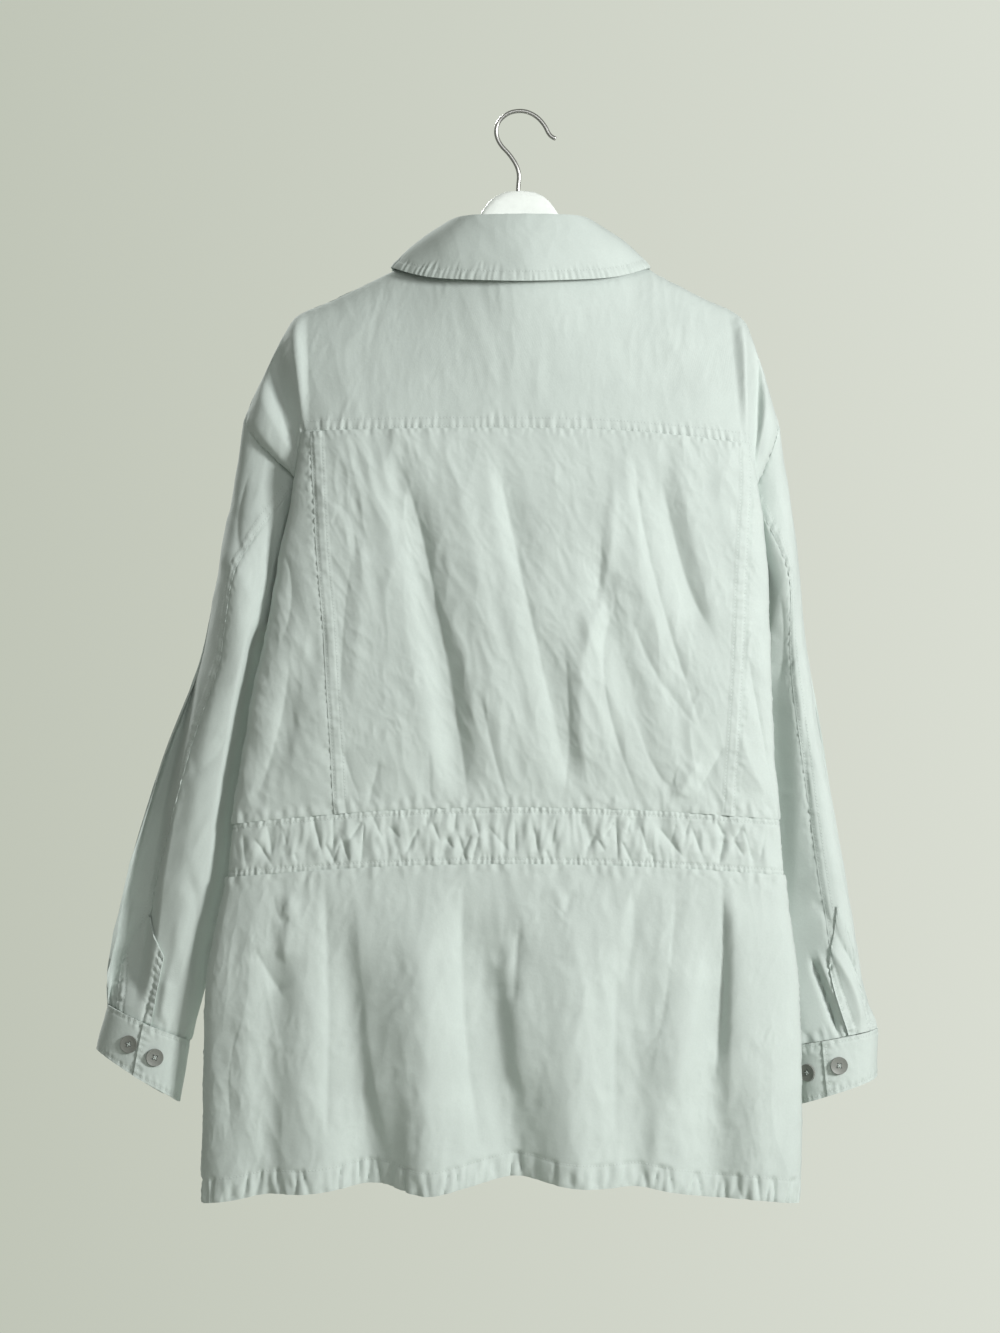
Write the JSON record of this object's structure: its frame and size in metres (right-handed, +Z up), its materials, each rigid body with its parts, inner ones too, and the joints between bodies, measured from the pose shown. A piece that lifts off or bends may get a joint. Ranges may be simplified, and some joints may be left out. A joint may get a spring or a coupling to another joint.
{
  "type": "cargo jacket on a hanger",
  "caption": "Hip-length cotton jacket with a yoked back, ruched waist casing and buttoned cuffs, hung on a moulded hanger by its wire hook.",
  "frame": {"origin": "inside top of the hook, where a rail or peg carries it", "axes": "+Z up, -Y towards the back of the jacket, +X to the right seen from behind"},
  "size_m": [0.7129, 0.143, 0.9923],
  "materials": {
    "cloth": "washed pale sage cotton twill",
    "button": "satin grey plastic",
    "hanger": "smooth white",
    "hook": "bright wire"
  },
  "bodies": {
    "root": {"back_center": "cloth", "back_side_left": "cloth", "back_side_right": "cloth", "back_yoke": "cloth", "collar_fall": "cloth", "collar_stand": "cloth", "cuff_button_left_1": "button", "cuff_button_left_2": "button", "cuff_button_right_1": "button", "cuff_button_right_2": "button", "cuff_left": "cloth", "cuff_right": "cloth", "flap_left": "cloth", "flap_right": "cloth", "front_button_1": "button", "front_button_2": "button", "front_button_3": "button", "front_button_4": "button", "front_button_5": "button", "front_button_6": "button", "front_left": "cloth", "front_placket": "cloth", "front_right": "cloth", "hanger_body": "hanger", "hanger_hook": "hook", "pocket_left": "cloth", "pocket_right": "cloth", "skirt_back": "cloth", "skirt_front_left": "cloth", "skirt_front_right": "cloth", "sleeve_placket_left": "cloth", "sleeve_placket_right": "cloth", "sleeve_top_left": "cloth", "sleeve_top_right": "cloth", "sleeve_under_left": "cloth", "sleeve_under_right": "cloth", "waist_casing_back": "cloth", "waist_casing_front_left": "cloth", "waist_casing_front_right": "cloth"}
  },
  "joints": []
}
